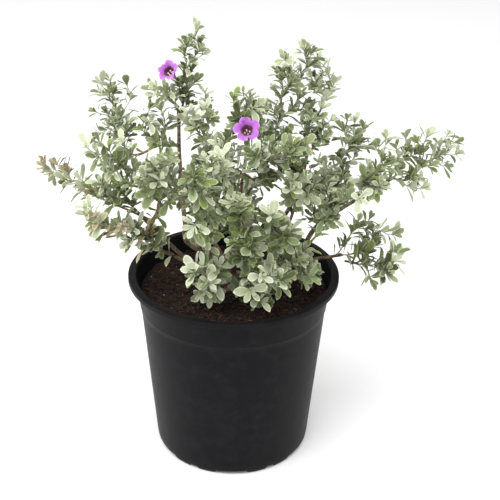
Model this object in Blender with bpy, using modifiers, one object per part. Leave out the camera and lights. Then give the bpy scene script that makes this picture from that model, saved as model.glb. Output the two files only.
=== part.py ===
"""A young silver-leaved texas sage, grown in a round moulded nursery pot.

The tables below are in millimetres and MM turns them into metres. The origin is the centre of the pot's underside,
+Z is up and the plant's broad front faces -Y. The pot holds a root ball, a short trunk rises from its level top, and
the limbs run from the trunk to uneven masses of foliage. Neighbouring pieces keep a small gap.
"""

import math
from dataclasses import dataclass

import bmesh
import bpy
from mathutils import Matrix, Vector, noise
from mathutils.geometry import intersect_point_line

MM = 0.001
GAP = 0.3
SHRUB = "potted_texas_sage"

# Pot: a thin moulded wall with a flat rim, a down-turned skirt and a soft step under the collar
POT_HEIGHT = 206.4
RIM_RADIUS = 112.5
RIM_BAND = 8.0
RIM_ROUND = 0.9
SKIRT_DROP = 5.6
SKIRT_WALL = 1.4
RIM_THICKNESS = 2.2
RIM_FILLET = 1.0
WALL = 1.8
COLLAR_TOP_RADIUS = 103.4
COLLAR_TOP_HEIGHT = 202.8
COLLAR_FOOT_RADIUS = 100.8
COLLAR_FOOT_HEIGHT = 172.4
STEP_RADIUS = 98.4
STEP_HEIGHT = 162.0
LOWER_WALL_RADIUS = 85.6
LOWER_WALL_HEIGHT = 13.0
BASE_EDGE = ((84.4, 5.0), (83.0, 1.2), (81.0, 0.0))
FLOOR = 2.0
FLOOR_RADIUS = 80.0
POT_STEPS = 48
SHARP_ANGLE = math.radians(35)

# Drain notches round the underside: a wide and a narrow one in each sixth of the circle, feet between them
NOTCH_REPEATS = 6
NOTCH_HEIGHT = 4.5
NOTCH_INNER_RADIUS = 59.0
FLAT_BASE_RADIUS = 55.0
WIDE_NOTCH_HALF_STEPS = 1
NARROW_NOTCH_STEP = 4
LEVEL_TOLERANCE = 0.1

# Root ball: fills the pot to a level a little below the rim
SOIL_DROP = 20.0
SOIL_TOP = POT_HEIGHT - SOIL_DROP

# Trunk: a short leaning stem with a root flare
TRUNK_HEIGHT = 42.0
TRUNK_RADIUS = 5.6
TRUNK_TOP_RADIUS = 4.6
FLARE_RADIUS = 12.0
FLARE_HEIGHT = 14.0
TRUNK_LEAN = Vector((-4.0, 3.0, 0.0))
TRUNK_RINGS = 9
RING_CROWDING = 1.4

LIMB_POINTS = 9
LIMB_SIDES_RESOLUTION = 2

# Foliage: round ends pass a mass's long axis by a share of its width, and a seeded swell makes it uneven
MASS_SEGMENTS = 10
MASS_RINGS = 7
END_SHARE = 1 / 6
AXIS_MARGIN = 0.1
UNEVENNESS = 0.45
UNEVEN_SCALE = 2.0
UNEVEN_SPACING = 10.0
NEAREST_ROUNDS = 60

# Each mass keeps above the pot's rim, or outside it where it hangs lower
RIM_CLEARANCE = 0.5
HANGS_OUTSIDE = "foliage_right_low_tip"


@dataclass(frozen=True)
class Limb:
    """One tapering limb: where it leaves the trunk, the places it passes and its thickness at both ends."""

    leaves_at: tuple
    through: tuple
    base_radius: float
    tip_radius: float


@dataclass(frozen=True)
class Mass:
    """One mass of foliage: the foot and tip of its long axis, and how wide it grows."""

    foot: tuple
    tip: tuple
    width: float


# leaves_at is (heading in degrees, height above the root ball) on the trunk, or a place (x, y, z)
LIMBS = {
    "bough_left_stem": Limb((172, 30), ((-48, 5, 237), (-52, 10, 260), (-57, 22, 315), (-58, 29, 376)), 3.4, 1.7),
    "bough_left_mid": Limb((196, 19), ((-48, -8, 224), (-80, -8, 256), (-103, -13, 285)), 2.8, 1.6),
    "bough_left_long": Limb((-83, 2, 262), ((-99, 5, 269), (-115, 8, 275), (-132, 11, 281)), 1.6, 1.0),
    "bough_left_low": Limb((212, 8), ((-28, -12, 208), (-50, -15, 224), (-68, -18, 237)), 2.4, 1.7),
    "bough_right_arm": Limb((352, 24), ((60, 0, 221), (88, 4, 260), (116, 6, 281), (163, 5, 314)), 3.2, 1.6),
    "bough_right_low": Limb((12, 12), ((60, 9, 209), (81, 12, 214), (117, 15, 219)), 2.4, 1.6),
    "bough_right_low_twig": Limb((119, 9, 215), ((127, 9, 213), (134, 9, 212)), 1.2, 0.9),
    "bough_right_spire": Limb((28, 32), ((30, 12, 242), (55, 16, 268), (69, 22, 301), (75, 25, 330)), 2.8, 1.8),
    "bough_centre": Limb((80, 37), ((3, 12, 246), (7, 14, 297), (14, -9, 363)), 2.4, 1.4),
    "bough_front_left": Limb((248, 9), ((-14, -24, 201), (-20, -38, 204)), 2.0, 1.4),
    "bough_front_right": Limb((302, 9), ((14, -22, 200), (22, -36, 203)), 2.0, 1.4),
    "bough_front_mid": Limb((274, 27), ((4, -24, 228), (10, -38, 238)), 2.2, 1.6),
    "bough_back_left": Limb((128, 22), ((-28, 38, 232), (-52, 56, 260)), 2.6, 1.7),
    "bough_back_right": Limb((52, 20), ((24, 36, 228), (46, 54, 258), (76, 64, 262)), 2.6, 1.7),
}

MASSES = {
    "foliage_spire_tip": Mass((-52, 31, 415), (-41, 37, 454), 30),
    "foliage_spire_body": Mass((-58, 30, 381), (-51, 31, 407), 41),
    "foliage_spire_left": Mass((-68, 22, 400), (-83, 10, 404), 20),
    "foliage_spire_low_left": Mass((-73, 31, 334), (-90, 42, 377), 35),
    "foliage_spire_low_right": Mass((-45, 12, 362), (-29, -3, 388), 29),
    "foliage_upper_left": Mass((-106, 41, 316), (-132, 68, 389), 40),
    "foliage_left_mid": Mass((-95, -30, 320), (-136, -67, 369), 33),
    "foliage_left_mid_low": Mass((-107, -15, 289), (-136, -40, 326), 28),
    "foliage_left_arm": Mass((-136, 13, 283), (-200, 52, 306), 18),
    "foliage_low_left": Mass((-72, -19, 240), (-146, -62, 306), 28),
    "foliage_front_left": Mass((-64, -45, 308), (-72, -85, 375), 46),
    "foliage_front_mid_a": Mass((-36, -55, 302), (-38, -105, 362), 38),
    "foliage_front_mid_b": Mass((-24, -40, 312), (-16, -92, 377), 38),
    "foliage_front_low_a": Mass((-28, -50, 264), (-34, -84, 306), 38),
    "foliage_front_low_b": Mass((-23, -46, 206), (-31, -75, 254), 44),
    "foliage_front_mid_c": Mass((4, -55, 282), (2, -106, 346), 44),
    "foliage_front_mid_d": Mass((12, -45, 242), (8, -92, 298), 44),
    "foliage_front_low_d": Mass((26, -45, 208), (30, -82, 252), 54),
    "foliage_front_right_a": Mass((58, -25, 244), (39, -75, 302), 52),
    "foliage_front_right_b": Mass((72, -20, 210), (64, -56, 256), 44),
    "foliage_flower_shoot": Mass((14, -13, 369), (9, -21, 407), 37),
    "foliage_centre_high": Mass((44, 14, 340), (37, 20, 382), 43),
    "foliage_centre_b": Mass((-7, -6, 318), (-12, -26, 372), 44),
    "foliage_centre_c": Mass((22, -28, 322), (25, -62, 378), 40),
    "foliage_centre_d": Mass((55, -32, 328), (57, -75, 388), 40),
    "foliage_centre_e": Mass((63, -25, 292), (59, -64, 344), 40),
    "foliage_right_tip": Mass((66, 36, 396), (69, 41, 433), 26),
    "foliage_right_tip_left": Mass((54, 25, 388), (46, 16, 431), 21),
    "foliage_right_tip_right": Mass((84, 44, 394), (90, 54, 416), 29),
    "foliage_right_body": Mass((76, 26, 335), (79, 33, 383), 50),
    "foliage_right_mid": Mass((114, 50, 303), (129, 76, 343), 31),
    "foliage_right_in": Mass((92, 22, 276), (111, 34, 305), 40),
    "foliage_right_arm_base": Mass((80, -18, 269), (118, -38, 323), 38),
    "foliage_right_arm_in": Mass((132, -14, 308), (155, -25, 352), 44),
    "foliage_right_arm_mid": Mass((168, 6, 318), (196, 19, 338), 40),
    "foliage_right_arm_tip": Mass((209, 24, 332), (230, 38, 342), 22),
    "foliage_right_low": Mass((120, 17, 221), (162, 33, 236), 28),
    "foliage_right_low_tip": Mass((137, 8, 212), (172, -7, 213), 23),
    "foliage_back_left": Mass((-64, 60, 266), (-94, 112, 290), 58),
    "foliage_back_mid_left": Mass((-20, 58, 282), (-32, 108, 320), 58),
    "foliage_back_mid_right": Mass((32, 64, 278), (42, 120, 310), 58),
    "foliage_back_right": Mass((84, 66, 262), (110, 112, 290), 58),
    "foliage_back_low": Mass((-3, 50, 230), (4, 130, 250), 64),
}


def clear_scene():
    """Empty the scene, so that the shrub is the only thing in it."""
    for old in list(bpy.data.objects):
        bpy.data.objects.remove(old, do_unlink=True)
    shrub = bpy.data.collections.new(SHRUB)
    bpy.context.scene.collection.children.link(shrub)
    return shrub


def plain_material(name, colour, roughness):
    """A plain material in one colour."""
    material = bpy.data.materials.new(name)
    material.use_nodes = True
    shader = material.node_tree.nodes["Principled BSDF"]
    shader.inputs["Base Color"].default_value = (*colour, 1.0)
    shader.inputs["Roughness"].default_value = roughness
    shader.inputs["Metallic"].default_value = 0.0
    return material


def add_object(shrub, name, data, material):
    """Put a piece whose data are in millimetres in the shrub's collection, at its real size."""
    data.transform(Matrix.Scale(MM, 4))
    data.materials.append(material)
    piece = bpy.data.objects.new(name, data)
    shrub.objects.link(piece)
    return piece


def turned(shrub, name, profile, material):
    """A body of revolution about Z, from (radius, height) points that run down its outer side."""
    mesh = bpy.data.meshes.new(name)
    edges = [(i, i + 1) for i in range(len(profile) - 1)]
    mesh.from_pydata([(radius, 0.0, height) for radius, height in profile], edges, [])
    piece = add_object(shrub, name, mesh, material)
    screw = piece.modifiers.new("turn", "SCREW")
    screw.steps = POT_STEPS
    screw.render_steps = POT_STEPS
    screw.use_merge_vertices = True
    screw.merge_threshold = 0.00005
    return piece


def made_mesh(piece):
    """Replace a piece's mesh and modifiers by the mesh that they make."""
    evaluated = piece.evaluated_get(bpy.context.evaluated_depsgraph_get())
    mesh = bpy.data.meshes.new_from_object(evaluated)
    piece.modifiers.clear()
    piece.data = mesh
    return mesh


def pot_profile():
    """The pot's outline from the middle of its floor, up the inside, over the rim and down to its underside."""
    outside = [
        (COLLAR_TOP_RADIUS, COLLAR_TOP_HEIGHT),
        (COLLAR_FOOT_RADIUS, COLLAR_FOOT_HEIGHT),
        (STEP_RADIUS, STEP_HEIGHT),
        (LOWER_WALL_RADIUS, LOWER_WALL_HEIGHT),
    ]
    inside = [(radius - WALL, height) for radius, height in reversed(outside)]
    floor = [(0.0, FLOOR), (FLAT_BASE_RADIUS, FLOOR), (NOTCH_INNER_RADIUS, FLOOR), (FLOOR_RADIUS, FLOOR)]
    rim_inner = RIM_RADIUS - RIM_BAND
    rim = [
        (rim_inner - RIM_ROUND, POT_HEIGHT - RIM_ROUND),
        (rim_inner, POT_HEIGHT),
        (RIM_RADIUS - RIM_ROUND, POT_HEIGHT),
        (RIM_RADIUS, POT_HEIGHT - RIM_ROUND),
        (RIM_RADIUS, POT_HEIGHT - SKIRT_DROP),
        (RIM_RADIUS - SKIRT_WALL, POT_HEIGHT - SKIRT_DROP),
        (RIM_RADIUS - SKIRT_WALL, POT_HEIGHT - RIM_THICKNESS),
        (rim_inner + RIM_FILLET, POT_HEIGHT - RIM_THICKNESS),
    ]
    underside = [*BASE_EDGE, (NOTCH_INNER_RADIUS, 0.0), (FLAT_BASE_RADIUS, 0.0), (0.0, 0.0)]
    return floor + inside + rim + outside + underside


def in_notch(angle):
    """Whether a drain notch passes this angle, in radians, round the pot; the front has a wide one."""
    step = round((angle + math.pi / 2) / (2 * math.pi) * POT_STEPS) % (POT_STEPS // NOTCH_REPEATS)
    from_wide = min(step, POT_STEPS // NOTCH_REPEATS - step)
    return from_wide <= WIDE_NOTCH_HALF_STEPS or step == NARROW_NOTCH_STEP


def make_pot(shrub, plastic):
    """The moulded pot, with drain notches lifted into its base so that feet stay between them."""
    pot = turned(shrub, "pot", pot_profile(), plastic)
    mesh = made_mesh(pot)
    for vertex in mesh.vertices:
        radius = math.hypot(vertex.co.x, vertex.co.y) / MM
        height = vertex.co.z / MM
        if radius < NOTCH_INNER_RADIUS - LEVEL_TOLERANCE or not in_notch(math.atan2(vertex.co.y, vertex.co.x)):
            continue
        is_floor = abs(height - FLOOR) < LEVEL_TOLERANCE
        if is_floor:
            vertex.co.z = (NOTCH_HEIGHT + FLOOR) * MM
        elif height < NOTCH_HEIGHT:
            vertex.co.z = NOTCH_HEIGHT * MM
    mesh.shade_smooth()
    mesh.set_sharp_from_angle(angle=SHARP_ANGLE)
    return pot


def make_soil(shrub, earth):
    """The root ball, flat on top, which fills the pot from just above its raised notches."""
    bottom = NOTCH_HEIGHT + FLOOR + GAP
    inset = WALL + GAP
    wall_share = (SOIL_TOP - COLLAR_FOOT_HEIGHT) / (COLLAR_TOP_HEIGHT - COLLAR_FOOT_HEIGHT)
    top_radius = COLLAR_FOOT_RADIUS + (COLLAR_TOP_RADIUS - COLLAR_FOOT_RADIUS) * wall_share
    profile = [
        (0.0, SOIL_TOP),
        (top_radius - inset, SOIL_TOP),
        (COLLAR_FOOT_RADIUS - inset, COLLAR_FOOT_HEIGHT),
        (STEP_RADIUS - inset, STEP_HEIGHT),
        (LOWER_WALL_RADIUS - inset, LOWER_WALL_HEIGHT),
        (FLOOR_RADIUS, bottom),
        (0.0, bottom),
    ]
    return turned(shrub, "root_ball", profile, earth)


def tube(shrub, name, points, radii, material):
    """A round limb along points, with its own radius at each and filled ends."""
    curve = bpy.data.curves.new(name, "CURVE")
    curve.dimensions = "3D"
    curve.bevel_depth = 1.0
    curve.bevel_resolution = LIMB_SIDES_RESOLUTION
    curve.use_fill_caps = True
    curve.resolution_u = 1
    spline = curve.splines.new("POLY")
    spline.points.add(len(points) - 1)
    for target, place, radius in zip(spline.points, points, radii, strict=True):
        target.co = (*(Vector(place) * MM), 1.0)
        target.radius = radius * MM
    curve.materials.append(material)
    piece = bpy.data.objects.new(name, curve)
    shrub.objects.link(piece)
    return piece


def trunk_centre(height):
    """The middle of the trunk at a height above the root ball."""
    share = height / TRUNK_HEIGHT
    return Vector((0.0, 0.0, SOIL_TOP + height)) + TRUNK_LEAN * share * share


def trunk_radius(height):
    """The trunk's radius at a height above the root ball: a flare that eases into a gentle taper."""
    taper = TRUNK_RADIUS + (TRUNK_TOP_RADIUS - TRUNK_RADIUS) * height / TRUNK_HEIGHT
    spread = max(0.0, 1.0 - height / FLARE_HEIGHT)
    return taper + (FLARE_RADIUS - TRUNK_RADIUS) * spread * spread


def make_trunk(shrub, bark):
    """The short trunk, from its flat cut just above the root ball to its fork."""
    heights = [GAP + (TRUNK_HEIGHT - GAP) * (i / (TRUNK_RINGS - 1)) ** RING_CROWDING for i in range(TRUNK_RINGS)]
    points = [trunk_centre(height) for height in heights]
    points[1].x, points[1].y = points[0].x, points[0].y
    return tube(shrub, "trunk", points, [trunk_radius(height) for height in heights], bark)


def limb_start(limb):
    """Where a limb begins: clear of the trunk's side, or at its own stated place."""
    if len(limb.leaves_at) == 3:
        return Vector(limb.leaves_at)
    heading, height = limb.leaves_at
    outward = Vector((math.cos(math.radians(heading)), math.sin(math.radians(heading)), 0.0))
    reach = trunk_radius(height) + limb.base_radius + 2 * GAP
    return trunk_centre(height) + outward * reach


def smooth_path(stops, count):
    """Evenly counted points on a smooth curve through the stops."""
    stops = [Vector(stop) for stop in stops]
    ends = [stops[0] * 2 - stops[1], *stops, stops[-1] * 2 - stops[-2]]
    spans = len(stops) - 1
    path = []
    for i in range(count):
        along = i / (count - 1) * spans
        span = min(int(along), spans - 1)
        t = along - span
        a, b, c, d = ends[span : span + 4]
        path.append(
            0.5 * (2 * b + (c - a) * t + (2 * a - 5 * b + 4 * c - d) * t * t + (3 * b - a - 3 * c + d) * t**3)
        )
    return path


def limb_path(limb):
    """A limb's middle line and its radius along it."""
    points = smooth_path([limb_start(limb), *limb.through], LIMB_POINTS)
    shares = [i / (LIMB_POINTS - 1) for i in range(LIMB_POINTS)]
    radii = [limb.base_radius + (limb.tip_radius - limb.base_radius) * share for share in shares]
    return points, radii


def nearest_between(first, second):
    """The nearest points of two straight pieces, each given by its ends; the same whichever piece comes first."""
    if tuple(first[0]) > tuple(second[0]):
        on_second, on_first = nearest_between(second, first)
        return on_first, on_second
    on_first = (first[0] + first[1]) / 2
    for _ in range(NEAREST_ROUNDS):
        on_second = nearest_on(on_first, second)
        on_first = nearest_on(on_second, first)
    return on_first, on_second


def nearest_on(point, piece):
    """The point of a straight piece that is nearest to a point."""
    _, share = intersect_point_line(point, piece[0], piece[1])
    return piece[0].lerp(piece[1], min(1.0, max(0.0, share)))


def axis_of(mass):
    """The straight line along a mass that stays inside it."""
    foot, tip = Vector(mass.foot), Vector(mass.tip)
    return foot.lerp(tip, AXIS_MARGIN), foot.lerp(tip, 1.0 - AXIS_MARGIN)


def bounds_of(name, limbs):
    """The planes, each a point and an inward normal, that keep a mass off its neighbours, the limbs and the pot."""
    mass = MASSES[name]
    axis = axis_of(mass)
    planes = []
    for other_name, other in MASSES.items():
        if other_name == name:
            continue
        mine, theirs = nearest_between(axis, axis_of(other))
        inward = (mine - theirs).normalized()
        share = other.width / (mass.width + other.width)
        planes.append((theirs.lerp(mine, share) + inward * GAP / 2, inward))
    for points, radii in limbs:
        for start, end, radius in zip(points, points[1:], radii, strict=False):
            mine, theirs = nearest_between(axis, (start, end))
            inward = (mine - theirs).normalized()
            planes.append((theirs + inward * (radius + GAP), inward))
    if name == HANGS_OUTSIDE:
        planes.append((Vector((RIM_RADIUS + RIM_CLEARANCE, 0.0, 0.0)), Vector((1.0, 0.0, 0.0))))
    else:
        planes.append((Vector((0.0, 0.0, POT_HEIGHT + RIM_CLEARANCE)), Vector((0.0, 0.0, 1.0))))
    return planes


def make_mass(shrub, name, limbs, leaf):
    """One uneven mass of foliage, trimmed flat where it meets what is beside it."""
    mass = MASSES[name]
    foot, tip = Vector(mass.foot), Vector(mass.tip)
    centre = (foot + tip) / 2
    half_width = mass.width / 2
    half_length = (tip - foot).length / 2 + mass.width * END_SHARE
    turn = (tip - foot).to_track_quat("Z", "X").to_matrix()
    planes = bounds_of(name, limbs)
    shape = bmesh.new()
    bmesh.ops.create_uvsphere(shape, u_segments=MASS_SEGMENTS, v_segments=MASS_RINGS, radius=1.0)
    for vertex in shape.verts:
        direction = vertex.co.normalized()
        swell = 1.0 + UNEVENNESS * noise.noise(direction * UNEVEN_SCALE + centre / UNEVEN_SPACING)
        reach = turn @ (direction * Vector((half_width, half_width, half_length))) * swell
        for point, inward in planes:
            toward = -reach.dot(inward)
            room = (centre - point).dot(inward)
            if toward > room:
                reach *= room / toward
        vertex.co = centre + reach
    mesh = bpy.data.meshes.new(name)
    shape.to_mesh(mesh)
    shape.free()
    mesh.shade_smooth()
    return add_object(shrub, name, mesh, leaf)


def main():
    """Build the pot, the root ball, the trunk, the limbs and the foliage."""
    shrub = clear_scene()
    plastic = plain_material("black_moulded_plastic", (0.02, 0.02, 0.021), 0.45)
    earth = plain_material("dark_potting_soil", (0.02, 0.012, 0.008), 0.95)
    bark = plain_material("grey_brown_bark", (0.13, 0.085, 0.055), 0.85)
    leaf = plain_material("silver_green_foliage", (0.42, 0.5, 0.34), 0.8)
    make_pot(shrub, plastic)
    make_soil(shrub, earth)
    make_trunk(shrub, bark)
    limbs = []
    for name, limb in LIMBS.items():
        points, radii = limb_path(limb)
        tube(shrub, name, points, radii, bark)
        limbs.append((points, radii))
    for name in MASSES:
        make_mass(shrub, name, limbs, leaf)


main()
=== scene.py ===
"""Looks of a young silver-leaved texas sage in its round moulded nursery pot.

Sizes and places are in millimetres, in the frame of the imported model, until a mesh is made. The pot, the
soil and the bark are finer meshes in the places of their solids. Each mass of foliage is replaced by twigs
that a seeded rule grows on from the boughs, towards tips that the photograph shows and towards tips spread
through the mass, and by the leaves that stand along them.
"""

import logging
import math
import random
from dataclasses import dataclass, field
from enum import Enum
from itertools import combinations

import bpy
import numpy as np
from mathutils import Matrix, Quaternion, Vector, noise

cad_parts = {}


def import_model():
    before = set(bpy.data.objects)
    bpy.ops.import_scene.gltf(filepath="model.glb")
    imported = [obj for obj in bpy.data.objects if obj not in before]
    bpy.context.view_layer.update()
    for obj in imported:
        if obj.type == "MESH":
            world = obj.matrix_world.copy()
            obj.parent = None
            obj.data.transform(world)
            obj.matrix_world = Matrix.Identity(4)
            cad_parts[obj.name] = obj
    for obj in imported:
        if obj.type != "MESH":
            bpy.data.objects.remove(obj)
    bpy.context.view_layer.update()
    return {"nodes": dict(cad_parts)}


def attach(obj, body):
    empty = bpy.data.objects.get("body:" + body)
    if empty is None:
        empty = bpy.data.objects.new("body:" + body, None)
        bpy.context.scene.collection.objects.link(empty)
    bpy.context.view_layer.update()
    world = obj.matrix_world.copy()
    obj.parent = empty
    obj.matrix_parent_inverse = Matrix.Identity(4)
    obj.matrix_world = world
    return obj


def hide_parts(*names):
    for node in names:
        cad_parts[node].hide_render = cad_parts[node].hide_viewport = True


LOG = logging.getLogger("texas_sage")
MM = 0.001
IMAGE_SIDE = 500
GOLDEN_ANGLE = math.radians(137.508)
GOLDEN_RATIO = (1 + math.sqrt(5)) / 2
FULL_TURN = 2 * math.pi
UP = Vector((0.0, 0.0, 1.0))
ROOT = "root"
SOIL_TOP = 186.4
# A length too small to show, and the least one that divides another
TINY = 0.01
LEAST = 1e-6

Colour = tuple[float, float, float, float]
Place = tuple[float, float, float]
Range = tuple[float, float]
Material = bpy.types.Material
Socket = bpy.types.NodeSocket
Tree = bpy.types.NodeTree


class Side(Enum):
    """The part of the crown that a mass of foliage belongs to."""

    LEFT = "left"
    FRONT = "front"
    CENTRE = "centre"
    RIGHT = "right"
    BACK = "back"


class Tone(Enum):
    """How a spray of leaves is coloured, by its age and place; the darkest tone is painted shade."""

    SILVER = 0
    PALE = 1
    SAGE = 2
    FRESH = 3
    # A dark leaf green that paints the shade inside the crown
    PAINTED_SHADE = 4
    AGED = 5


def linear(colour: str) -> Colour:
    """Turn an sRGB colour to linear light.

    Args:
        colour: six hex digits after a hash sign.

    Returns:
        Red, green, blue and alpha, each from 0 to 1.
    """
    levels = [int(colour[i : i + 2], 16) / 255 for i in (1, 3, 5)]
    red, green, blue = (x / 12.92 if x <= 0.04045 else ((x + 0.055) / 1.055) ** 2.4 for x in levels)
    return red, green, blue, 1.0


def add_node(tree: Tree, kind: str, settings: dict, links: dict) -> bpy.types.Node:
    """Add a shader node with its settings and links.

    Args:
        tree: the material's node tree.
        kind: the node's type name.
        settings: values by input name or number, or by the node's own property name.
        links: the output sockets that feed inputs, by input name or number.

    Returns:
        The new node.
    """
    node = tree.nodes.new(kind)
    for name, value in settings.items():
        if isinstance(name, int) or name in node.inputs:
            node.inputs[name].default_value = value
        else:
            setattr(node, name, value)
    for name, socket in links.items():
        tree.links.new(socket, node.inputs[name])
    return node


def start_material(name: str, settings: dict) -> tuple[Material, Tree]:
    """Start a material whose shader has plain settings.

    Args:
        name: the material's name.
        settings: the shader's values by socket name.

    Returns:
        The material and its node tree.
    """
    material = bpy.data.materials.new(name)
    material.use_nodes = True
    shader = material.node_tree.nodes["Principled BSDF"]
    for socket, value in settings.items():
        shader.inputs[socket].default_value = value
    return material, material.node_tree


def object_noise(
    tree: Tree, grain: float, detail: float, roughness: float = 0.6, squash: float = 1.0
) -> Socket:
    """Add a noise whose lumps have a real size.

    Args:
        tree: the material's node tree.
        grain: the size of a lump, in millimetres.
        detail: how many finer layers it has.
        roughness: how strong the finer layers are.
        squash: how much slower it changes upwards than across, as a share.

    Returns:
        The noise's output.
    """
    place = add_node(tree, "ShaderNodeTexCoord", {}, {}).outputs["Object"]
    if squash != 1.0:
        settings = {"Scale": (1.0, 1.0, squash)}
        place = add_node(tree, "ShaderNodeMapping", settings, {"Vector": place}).outputs["Vector"]
    settings = {"Scale": 1.0 / (grain * MM), "Detail": detail, "Roughness": roughness}
    return add_node(tree, "ShaderNodeTexNoise", settings, {"Vector": place}).outputs["Fac"]


def dress_surface(
    tree: Tree,
    relief: tuple[Socket, float, float] | None = None,
    tones: tuple[Socket, Range, str, str] | None = None,
    roughness: tuple[Socket, Range] | None = None,
) -> None:
    """Let patterns set the shader's relief, colour and roughness.

    Args:
        tree: the material's node tree.
        relief: the pattern that raises the surface, its strength and its depth in millimetres.
        tones: the pattern that mixes two colours, the levels between which it does so, and the colours.
        roughness: the pattern that makes the gloss uneven, and the least and most roughness.
    """
    shader = tree.nodes["Principled BSDF"]
    if relief:
        height, strength, depth = relief
        settings = {"Strength": strength, "Distance": depth * MM}
        bump = add_node(tree, "ShaderNodeBump", settings, {"Height": height})
        tree.links.new(bump.outputs["Normal"], shader.inputs["Normal"])
    if tones:
        pattern, (low, high), dark, light = tones
        levels = {"From Min": low, "From Max": high}
        spread = add_node(tree, "ShaderNodeMapRange", levels, {"Value": pattern})
        # This node has a set of sockets for each type: its colours go in at 6 and 7, and come out at 2
        settings = {"data_type": "RGBA", 6: linear(dark), 7: linear(light)}
        colour = add_node(tree, "ShaderNodeMix", settings, {0: spread.outputs["Result"]})
        tree.links.new(colour.outputs[2], shader.inputs["Base Color"])
    if roughness:
        pattern, (least, most) = roughness
        uneven = add_node(tree, "ShaderNodeMapRange", {"To Min": least, "To Max": most}, {"Value": pattern})
        tree.links.new(uneven.outputs["Result"], shader.inputs["Roughness"])


@dataclass(frozen=True)
class FeltedLeaf:
    """A living leaf under a felt of short white hairs: matt and chalky, with a soft bloom at its edges."""

    name: str
    colour: str
    sheen: float = 0.08
    sheen_spread: float = 0.5
    ior: float = 1.42
    roughness: Range = (0.62, 0.88)
    # A clump of hairs is drawn about five times as coarse as the real felt, so that it shows
    hair_clump: float = 0.9
    relief: float = 0.18
    relief_depth: float = 0.3

    def material(self) -> Material:
        """Make the material: a plain colour by spray, with felt as relief and uneven roughness.

        Returns:
            The material.
        """
        settings = {
            "Base Color": linear(self.colour),
            "Sheen Weight": self.sheen,
            "Sheen Roughness": self.sheen_spread,
            "IOR": self.ior,
        }
        material, tree = start_material(self.name, settings)
        felt = object_noise(tree, self.hair_clump, detail=3.0)
        dress_surface(tree, (felt, self.relief, self.relief_depth), roughness=(felt, self.roughness))
        return material


@dataclass(frozen=True)
class Bark:
    """Thin bark of a young shrub: dry and dull, with fine lengthwise cracks and paler patches."""

    name: str
    dark: str
    light: str
    crack: float = 1.1
    crack_squash: float = 0.28
    patch: float = 5.0
    blend: Range = (0.14, 0.36)
    relief: float = 0.6
    relief_depth: float = 0.4

    def material(self) -> Material:
        """Make the material, cracked along the stem and patched in two browns.

        Returns:
            The material.
        """
        material, tree = start_material(self.name, {"Roughness": 0.86, "IOR": 1.45})
        cracks = object_noise(tree, self.crack, detail=4.0, roughness=0.65, squash=self.crack_squash)
        patches = object_noise(tree, self.patch, detail=2.0)
        share = add_node(tree, "ShaderNodeMath", {"operation": "MULTIPLY"}, {0: cracks, 1: patches})
        tones = (share.outputs["Value"], self.blend, self.dark, self.light)
        dress_surface(tree, (cracks, self.relief, self.relief_depth), tones)
        return material


@dataclass(frozen=True)
class MouldedPolypropylene:
    """Injection-moulded recycled polypropylene: near-black, half matt, with faint dusty scuffs."""

    name: str = "moulded_polypropylene"
    colour: str = "#121113"
    dusty: str = "#1c1b1d"
    gloss: float = 0.07
    roughness: Range = (0.36, 0.56)
    scuff: float = 14.0
    blend: Range = (0.45, 0.8)
    mould_grain: float = 0.8
    relief: float = 0.12
    relief_depth: float = 0.1

    def material(self) -> Material:
        """Make the material, with a fine mould texture and soft patches of dust.

        Returns:
            The material.
        """
        material, tree = start_material(self.name, {"IOR": 1.49, "Specular IOR Level": self.gloss})
        scuffs = object_noise(tree, self.scuff, detail=5.0)
        grain = object_noise(tree, self.mould_grain, detail=2.0)
        tones = (scuffs, self.blend, self.colour, self.dusty)
        dress_surface(tree, (grain, self.relief, self.relief_depth), tones, (scuffs, self.roughness))
        return material


@dataclass(frozen=True)
class PottingMix:
    """Moist peat and composted bark: very dark, rough and crumbly, with a little reddish fibre."""

    name: str
    dark: str
    light: str
    crumb: float = 2.2
    blend: Range = (0.42, 0.72)
    relief: float = 0.8
    relief_depth: float = 0.8

    def material(self) -> Material:
        """Make the material, speckled crumb by crumb.

        Returns:
            The material.
        """
        material, tree = start_material(self.name, {"Roughness": 0.93, "IOR": 1.4})
        crumbs = object_noise(tree, self.crumb, detail=6.0)
        tones = (crumbs, self.blend, self.dark, self.light)
        dress_surface(tree, (crumbs, self.relief, self.relief_depth), tones)
        return material


@dataclass(frozen=True)
class Petal:
    """A thin soft petal: silky, and crinkled by its fine veins."""

    name: str
    colour: str
    sheen: float = 0.4
    vein: float = 1.4
    relief: float = 0.3
    relief_depth: float = 0.3

    def material(self) -> Material:
        """Make the material: a plain colour with crinkled relief.

        Returns:
            The material.
        """
        settings = {"Base Color": linear(self.colour), "Roughness": 0.55, "IOR": 1.4}
        material, tree = start_material(self.name, settings | {"Sheen Weight": self.sheen})
        veins = object_noise(tree, self.vein, detail=2.0)
        dress_surface(tree, (veins, self.relief, self.relief_depth))
        return material


# Each tone's word, the colour of its blade and that of its felted margin
LEAF_COLOURS = {
    Tone.SILVER: ("silver", "#b8bfa2", "#d4d9c4"),
    Tone.PALE: ("pale", "#9ea686", "#c2c8aa"),
    Tone.SAGE: ("sage", "#7a865e", "#a2aa84"),
    Tone.FRESH: ("fresh", "#7a8a4c", "#a4b07c"),
    # The darkest tone is painted shade: the leaf green and its margin made dark for shaded sprays
    Tone.PAINTED_SHADE: ("painted_shade", "#4c5632", "#7a8358"),
    Tone.AGED: ("aged", "#a69c7a", "#c4bba0"),
}


def leaf_finishes() -> list[Material]:
    """Make the blade and margin materials of every tone.

    Returns:
        The materials, in the order of the tones.
    """
    finishes = []
    for tone in Tone:
        word, blade, margin = LEAF_COLOURS[tone]
        finishes.append(FeltedLeaf(f"felted_leaf_{word}", blade).material())
        finishes.append(FeltedLeaf(f"felted_margin_{word}", margin).material())
    return finishes


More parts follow.
